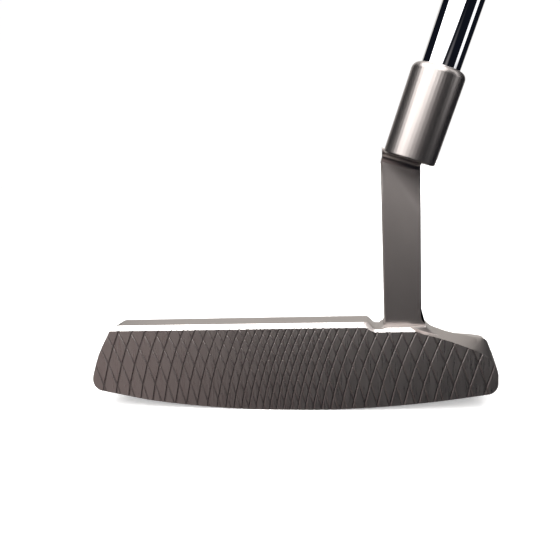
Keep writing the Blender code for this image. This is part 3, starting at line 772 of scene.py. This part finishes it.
SHAFT_TIP_RADIUS = 4.7 * MM
SHAFT_BUTT_RADIUS = 7.35 * MM
SHAFT_WALL = 0.9 * MM
SHAFT_CHAMFER = 0.2 * MM
SHAFT_TIP = HOSEL_DISTANCE + 3.1 * MM
SHAFT_BUTT = CLUB_LENGTH - 3.3 * MM
SHAFT_STEPS = 12
FIRST_STEP = 330.0 * MM
LAST_STEP = 570.0 * MM
STEP_RAMP = 1.6 * MM
STEP_STATIONS = (0.0, 0.12, 0.3, 0.5, 0.7, 0.88, 1.0)


def build_shaft():
    """Drawn steel tube that grows by small steps towards the grip."""
    growth = (SHAFT_BUTT_RADIUS - SHAFT_TIP_RADIUS) / SHAFT_STEPS
    pitch = (LAST_STEP - FIRST_STEP) / (SHAFT_STEPS - 1)
    outside = [(SHAFT_TIP_RADIUS - SHAFT_CHAMFER, SHAFT_TIP),
               (SHAFT_TIP_RADIUS, SHAFT_TIP + SHAFT_CHAMFER)]
    for step in range(SHAFT_STEPS):
        start = FIRST_STEP + pitch * step - STEP_RAMP / 2
        for station in STEP_STATIONS:
            radius = SHAFT_TIP_RADIUS + growth * (step + smooth_rise(station))
            outside.append((radius, start + STEP_RAMP * station))
    outside.append((SHAFT_BUTT_RADIUS, SHAFT_BUTT - SHAFT_CHAMFER))
    outside.append((SHAFT_BUTT_RADIUS - SHAFT_CHAMFER, SHAFT_BUTT))
    inside = [(SHAFT_BUTT_RADIUS - SHAFT_WALL, SHAFT_BUTT),
              (SHAFT_BUTT_RADIUS - SHAFT_WALL, LAST_STEP),
              (SHAFT_TIP_RADIUS - SHAFT_WALL, FIRST_STEP),
              (SHAFT_TIP_RADIUS - SHAFT_WALL, SHAFT_TIP)]
    shaft = turned("club_shaft", outside + inside, along_shaft(0))
    shaft.data.materials.append(chrome())
    shade(shaft, 40)
    stands_for(shaft, "shaft_chrome", "shaft")


build_shaft()


# --- grip and cap -----------------------------------------------------------------------------

GRIP_LENGTH = 267.0 * MM
GRIP_BOTTOM = CLUB_LENGTH - GRIP_LENGTH
GRIP_BORE = 8.25 * MM

# Half width, flat-side depth and palm-side depth at the mouth, and how much they grow
GRIP_MOUTH = Vector((9.6, 9.4, 9.8)) * MM
GRIP_GROWTH = Vector((3.2, 2.2, 2.6)) * MM
PISTOL_SWELL = 5.0 * MM
PISTOL_PLACE = 0.93
PISTOL_SPREAD = 0.16
FLAT_SIDE_ROUNDNESS = 0.56
PALM_SIDE_ROUNDNESS = 0.94
GRIP_AROUND = 168
GRIP_ROWS = 430
GRIP_BODY = (0.01, 0.98)

# How the grip's ends close in: (fraction of its length, scale of its section)
GRIP_MOUTH_EDGE = ((0.0, 0.92), (0.0008, 0.945), (0.002, 0.962), (0.004, 0.98), (0.0065, 0.992))
GRIP_DOME = ((0.984, 0.994), (0.988, 0.985), (0.992, 0.968), (0.995, 0.95), (0.998, 0.918),
             (1.0, 0.88))

CAP_RADIUS = 9.6 * MM
CAP_THICKNESS = 2.4 * MM
CAP_CHAMFER = 0.3 * MM
CAP_EDGE = 0.5 * MM
CAP_EDGE_TURNS = (0.3, 0.7, 1.1, math.pi / 2)
CAP_RINGS = (7.2 * MM, 4.6 * MM)
CAP_RING_SECTION = ((0.45, 0), (0.3, 0.22), (0, 0.3), (-0.3, 0.22), (-0.45, 0))
CAP_SEAT = 9.9 * MM
CAP_SEAT_FLOOR = CLUB_LENGTH - 2.7 * MM
VENT_RADIUS = 1.5 * MM
VENT_EDGE = 0.35 * MM
VENT_BEND = 0.1 * MM

# The moulded pattern: diamonds round the palm, chevrons under the thumbs, rings at the mouth
DIAMOND_LENGTH = 7.6 * MM
DIAMONDS_ROUND = 14
DIAMOND_DEPTH = 0.42 * MM
CHEVRON_LENGTH = 3.4 * MM
CHEVRON_SLANT = 1.5
CHEVRON_DEPTH = 0.5 * MM
CHEVRON_SHARE = 0.22
DIAMOND_SHARE = 0.13
THUMB_REACH = math.radians(46)
BORDER_REACH = math.radians(54)
PATTERN_FADE = 2.0 * MM
BORDER_FADE = 0.12
PLAIN_MOUTH = 15.0 * MM
PLAIN_CAP = 14.0 * MM
RING_PLACES = (4.5 * MM, 8.0 * MM, 11.5 * MM)
RING_HALF_WIDTH = 0.8 * MM
RING_DEPTH = 0.32 * MM


def grip_shape(fraction):
    """Half width, flat-side depth and palm-side depth of the grip, from its mouth to its cap."""
    width, flat_side, palm_side = GRIP_MOUTH + GRIP_GROWTH * smooth_rise(fraction)
    pistol = math.exp(-((fraction - PISTOL_PLACE) / PISTOL_SPREAD) ** 2)
    return width, flat_side, palm_side + PISTOL_SWELL * pistol


def valley(phase, share):
    """Depth, 0 to 1, of a rounded groove that repeats once a turn of the phase."""
    off = abs(phase - round(phase)) / share
    return max(0.0, 1 - off * off) if off < 1 else 0.0


def fade(value, start, end):
    """Smooth rise from 0 at the start to 1 at the end, and level beyond them."""
    return smooth_rise(min(max((value - start) / (end - start), 0.0), 1.0))


def pattern_depth(along, turn):
    """How far the moulded pattern sinks below the grip's skin."""
    last = GRIP_LENGTH - PLAIN_CAP
    bounds = fade(along, PLAIN_MOUTH, PLAIN_MOUTH + PATTERN_FADE)
    bounds *= 1 - fade(along, last - PATTERN_FADE, last)
    away = abs(turn)
    if away < THUMB_REACH:
        phase = along / CHEVRON_LENGTH - CHEVRON_SLANT * away
        edge = 1 - fade(away, THUMB_REACH - BORDER_FADE, THUMB_REACH)
        depth = CHEVRON_DEPTH * valley(phase, CHEVRON_SHARE) * edge
    elif away > BORDER_REACH:
        wound = turn * DIAMONDS_ROUND / (2 * math.pi)
        first = valley(along / DIAMOND_LENGTH + wound, DIAMOND_SHARE)
        second = valley(along / DIAMOND_LENGTH - wound, DIAMOND_SHARE)
        edge = fade(away, BORDER_REACH, BORDER_REACH + BORDER_FADE)
        depth = DIAMOND_DEPTH * max(first, second) * edge
    else:
        depth = 0.0
    depth *= bounds
    for place in RING_PLACES:
        off = abs(along - place) / RING_HALF_WIDTH
        if off < 1:
            depth = max(depth, RING_DEPTH * (1 - off * off))
    return depth


def grip_ring(fraction, scale):
    """One ring of the grip's skin: nearly flat under the thumbs, round in the palm."""
    width, flat_side, palm_side = [size * scale for size in grip_shape(fraction)]
    along = GRIP_LENGTH * fraction
    ring = []
    for index in range(GRIP_AROUND):
        turn = 2 * math.pi * index / GRIP_AROUND
        signed = turn if turn <= math.pi else turn - 2 * math.pi
        across = math.sin(turn)
        front = math.cos(turn)
        roundness, depth = PALM_SIDE_ROUNDNESS, palm_side
        if front > 0:
            roundness, depth = FLAT_SIDE_ROUNDNESS, flat_side
        x = -math.copysign(abs(front) ** roundness, front) * depth
        y = math.copysign(abs(across) ** roundness, across) * width
        reach = math.hypot(x, y)
        sunk = 1 - pattern_depth(along, signed) / reach
        ring.append(Vector((x * sunk, y * sunk, GRIP_BOTTOM + along)))
    return ring


def plain_ring(radius, height):
    """One round ring, with its points in the same order as the skin's."""
    turns = [2 * math.pi * index / GRIP_AROUND for index in range(GRIP_AROUND)]
    return [Vector((-radius * math.cos(turn), radius * math.sin(turn), height))
            for turn in turns]


def build_grip():
    """Hollow sleeve: the patterned skin, the cap's seat and the bore."""
    first, last = GRIP_BODY
    body = [(first + (last - first) * row / GRIP_ROWS, 1.0) for row in range(GRIP_ROWS + 1)]
    rings = [grip_ring(*station) for station in (*GRIP_MOUTH_EDGE, *body, *GRIP_DOME)]
    rings += [plain_ring(CAP_SEAT, CLUB_LENGTH), plain_ring(CAP_SEAT, CAP_SEAT_FLOOR),
              plain_ring(GRIP_BORE, CAP_SEAT_FLOOR), plain_ring(GRIP_BORE, GRIP_BOTTOM)]
    place = along_shaft(0)
    grip = lofted("grip_sleeve", [[place @ point for point in ring] for ring in rings], True)
    grip.data.materials.append(grip_rubber())
    shade(grip, 50)
    stands_for(grip, "grip_rubber", "grip")


def build_cap():
    """Vented cap with two moulded rings round its vent."""
    profile = [(VENT_RADIUS, 0), (CAP_RADIUS - CAP_CHAMFER, 0), (CAP_RADIUS, CAP_CHAMFER),
               (CAP_RADIUS, CAP_THICKNESS - CAP_EDGE)]
    for turn in CAP_EDGE_TURNS:
        profile.append((CAP_RADIUS - CAP_EDGE * (1 - math.cos(turn)),
                        CAP_THICKNESS - CAP_EDGE * (1 - math.sin(turn))))
    for place in CAP_RINGS:
        for offset, depth in CAP_RING_SECTION:
            profile.append((place + offset * MM, CAP_THICKNESS - depth * MM))
    profile += [(VENT_RADIUS + VENT_EDGE, CAP_THICKNESS),
                (VENT_RADIUS + VENT_BEND, CAP_THICKNESS - VENT_BEND),
                (VENT_RADIUS, CAP_THICKNESS - VENT_EDGE)]
    cap = turned("butt_cap", profile, along_shaft(CLUB_LENGTH - CAP_THICKNESS))
    cap.data.materials.append(cap_plastic())
    shade(cap, 30)
    stands_for(cap, "cap_plastic", "grip_end_cap")


build_grip()
build_cap()


# --- sole weights, sight line and hidden pieces -----------------------------------------------

SOLE_RADIUS = 320.0 * MM
WEIGHT_X = 44.0 * MM
WEIGHT_RADIUS = 6.35 * MM
WEIGHT_HEIGHT = 5.0 * MM
WEIGHT_CORE = 0.2 * MM
WEIGHT_CHAMFER = 0.3 * MM
WEIGHT_EDGE = 0.35 * MM
WEIGHT_EDGE_TURNS = (0.4, 0.8, 1.2, math.pi / 2)
WEIGHT_RING = 4.7 * MM
WEIGHT_RING_SECTION = ((0.5, 0), (0.35, 0.16), (0.0, 0.22), (-0.35, 0.16), (-0.5, 0))
DISH_RADIUS = 2.4 * MM
DISH_SLOPE = 0.5 * MM
DISH_DEPTH = 0.28 * MM
WRENCH_SOCKET = 2.3 * MM
WRENCH_DEPTH = 2.5 * MM
WRENCH_OVERRUN = 1.0 * MM
PAINT_EDGE = 0.15 * MM


def node_centre(name):
    low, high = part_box(name)
    return (Vector(low) + Vector(high)) / 2


def build_weight(side, label):
    """Turned weight: a rounded edge, a shallow ring and a dish with a hexagon socket.

    The profile starts and ends at a small core, whose ends are closed flat.
    """
    node = "sole_weight_" + label
    lean = -math.asin(side * WEIGHT_X / SOLE_RADIUS)
    centre = node_centre(node)
    place = Matrix.Translation(centre) @ Matrix.Rotation(lean, 4, "Y")
    bottom = -WEIGHT_HEIGHT / 2
    profile = [(WEIGHT_CORE, -bottom), (WEIGHT_RADIUS - WEIGHT_CHAMFER, -bottom),
               (WEIGHT_RADIUS, -bottom - WEIGHT_CHAMFER), (WEIGHT_RADIUS, bottom + WEIGHT_EDGE)]
    for turn in WEIGHT_EDGE_TURNS:
        profile.append((WEIGHT_RADIUS - WEIGHT_EDGE * (1 - math.cos(turn)),
                        bottom + WEIGHT_EDGE * (1 - math.sin(turn))))
    for offset, depth in WEIGHT_RING_SECTION:
        profile.append((WEIGHT_RING + offset * MM, bottom + depth * MM))
    profile += [(DISH_RADIUS + DISH_SLOPE, bottom), (DISH_RADIUS, bottom + DISH_DEPTH),
                (WEIGHT_CORE, bottom + DISH_DEPTH)]
    weight = turned(node + "_turned", profile, place, closed=False)
    turns = [math.pi / 3 * corner for corner in range(6)]
    hexagon = [[place @ Vector((WRENCH_SOCKET * math.cos(turn), WRENCH_SOCKET * math.sin(turn),
                                height)) for turn in turns]
               for height in (bottom - WRENCH_OVERRUN, bottom + WRENCH_DEPTH)]
    cut_with(weight, lofted("hexagon", hexagon, False))
    weight.data.materials.clear()
    weight.data.materials.append(turned_steel(label, centre, lean))
    shade(weight, 30)
    stands_for(weight, "weight_steel", node)


def build_sight_line():
    """Paint in the sight line, its edges drawn down a little where it dried."""
    paint = link("sight_line_paint", mesh_of(welded("sight_line_fill"), "sight_line_paint"))
    break_edges(paint, PAINT_EDGE, segments=4)
    paint.data.materials.clear()
    paint.data.materials.append(sight_paint())
    shade(paint, 40)
    stands_for(paint, "sight_paint", "sight_line_fill")


build_weight(-1, "toe")
build_weight(1, "heel")
build_sight_line()

RUBBER = washer_rubber()
CARRIED_OVER = {
    "hosel_epoxy": cured_resin(),
    "grip_tape": crepe_tape(),
    "weight_washer_toe": RUBBER,
    "weight_washer_heel": RUBBER,
}
for node, finish in CARRIED_OVER.items():
    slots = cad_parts[node].data.materials
    slots.clear()
    slots.append(finish)


# --- stage ------------------------------------------------------------------------------------

# Each light: azimuth of its centre, from the front to the right, half its width at its middle
# height and the widening per degree of elevation; its lowest and highest elevation; softness
# sideways and upwards; all in degrees; strength; colour
LIGHTS = [
    # Large softbox ahead and to the left
    (-20.75, 45, 1.2, 10.5, 66, 2, 2, 3.6, (1.0, 0.99, 0.98)),
    # Warm glow of the table ahead, and a weaker one nearer the middle
    (-45, 27, 0, -34, 6, 9, 8, 0.33, (1.0, 0.80, 0.77)),
    (8, 18, 0, -6, 4, 8, 3, 0.3, (1.0, 0.94, 0.93)),
    # Upright strip on the right
    (83, 9.5, 0, -10, 45, 1.2, 2, 1.4, (1.0, 1.0, 1.0)),
    # Overhead light all round
    (0, 200, 0, 60, 130, 6, 5, 2.4, (1.0, 0.99, 0.98)),
    # Lit backdrop behind the club
    (180, 30, 0, -25, 56, 4, 6, 0.75, (1.0, 0.96, 0.91)),
    # Fill above the strip
    (75, 45, 0, 24, 56, 8, 6, 0.5, (1.0, 0.99, 0.98)),
    # What the dark room gives back from everywhere
    (0, 200, 0, -120, 130, 6, 6, 0.008, (0.75, 0.9, 1.5)),
]
WIDENING_FROM = 20.0

FLOOR_REACH = 6.0
DOME_RADIUS = 5.5

CAMERA_PLACE = (0.026385, -0.156231, 0.071173)
CAMERA_TURN = (77.17386, 3.62743, 8.83474)
CAMERA_SENSOR = 36.0
CAMERA_LENS = 34.517
CAMERA_SHIFT = (-0.00495, 0.00866)
CAMERA_NEAREST = 0.005


def build_world():
    """Studio surroundings by direction: soft lights round a dark room."""
    world = bpy.data.worlds.new("studio")
    bpy.context.scene.world = world
    world.use_nodes = True
    sky = Nodes(world.node_tree)
    direction = sky.node("ShaderNodeTexCoord").outputs["Generated"]
    parts = sky.parts(direction)
    ahead = sky.math("MULTIPLY", parts["Y"], -1.0)
    azimuth = sky.math("DEGREES", sky.math("ARCTAN2", parts["X"], ahead))
    elevation = sky.math("DEGREES", sky.math("ARCSINE", parts["Z"]))
    total = (0.0, 0.0, 0.0)
    for (centre, half, widening, low, high, side_soft, height_soft, strength,
         colour) in LIGHTS:
        off = sky.math("WRAP", sky.math("SUBTRACT", azimuth, centre), 180.0, -180.0)
        grown = sky.math("MULTIPLY", sky.math("SUBTRACT", elevation, WIDENING_FROM), widening)
        inside = sky.math("SUBTRACT", sky.math("ABSOLUTE", off), grown)
        amount = sky.ramp(inside, 0.0, strength, half + side_soft, half - side_soft,
                          "SMOOTHSTEP")
        rising = sky.ramp(elevation, 0.0, 1.0, low - height_soft, low + height_soft, "SMOOTHSTEP")
        sinking = sky.ramp(elevation, 0.0, 1.0, high + height_soft, high - height_soft,
                           "SMOOTHSTEP")
        amount = sky.math("MULTIPLY", sky.math("MULTIPLY", amount, rising), sinking)
        total = sky.vector("ADD", sky.vector("SCALE", colour, scale=amount), total)
    sky.feed(world.node_tree.nodes["Background"].inputs["Color"], total)


def build_floor():
    """A white table that the reflections don't show."""
    shape = bmesh.new()
    bmesh.ops.create_grid(shape, x_segments=1, y_segments=1, size=FLOOR_REACH)
    floor = link("floor", mesh_of(shape, "floor"))
    paint = Surface("floor_paint")
    grain = paint.noise((30, 30, 30), 2.0)
    paint.set(Base_Color=paint.blend(grain, (0.93, 0.93, 0.93), (0.95, 0.95, 0.95)),
              Roughness=0.9, Emission_Color=(1, 1, 1, 1), Emission_Strength=0.3)
    floor.data.materials.append(paint.material)
    floor.visible_glossy = False


def build_backdrop():
    """A white dome behind everything, seen only directly."""
    shape = bmesh.new()
    bmesh.ops.create_uvsphere(shape, u_segments=64, v_segments=32, radius=DOME_RADIUS)
    dome = link("backdrop", mesh_of(shape, "backdrop"))
    paper = Surface("backdrop_paper")
    paper.set(Base_Color=(0, 0, 0, 1), Emission_Color=(1, 1, 1, 1), Emission_Strength=1.0)
    dome.data.materials.append(paper.material)
    dome.visible_diffuse = False
    dome.visible_glossy = False
    dome.visible_transmission = False
    dome.visible_shadow = False


def build_camera():
    """Camera fitted to the club at address, close in front of the face."""
    data = bpy.data.cameras.new("camera")
    data.sensor_width = CAMERA_SENSOR
    data.lens = CAMERA_LENS
    data.shift_x, data.shift_y = CAMERA_SHIFT
    data.clip_start = CAMERA_NEAREST
    camera = link("camera", data)
    camera.location = CAMERA_PLACE
    camera.rotation_euler = [math.radians(turn) for turn in CAMERA_TURN]
    bpy.context.scene.camera = camera


build_world()
build_floor()
build_backdrop()
build_camera()
bpy.context.scene.view_settings.view_transform = "Standard"
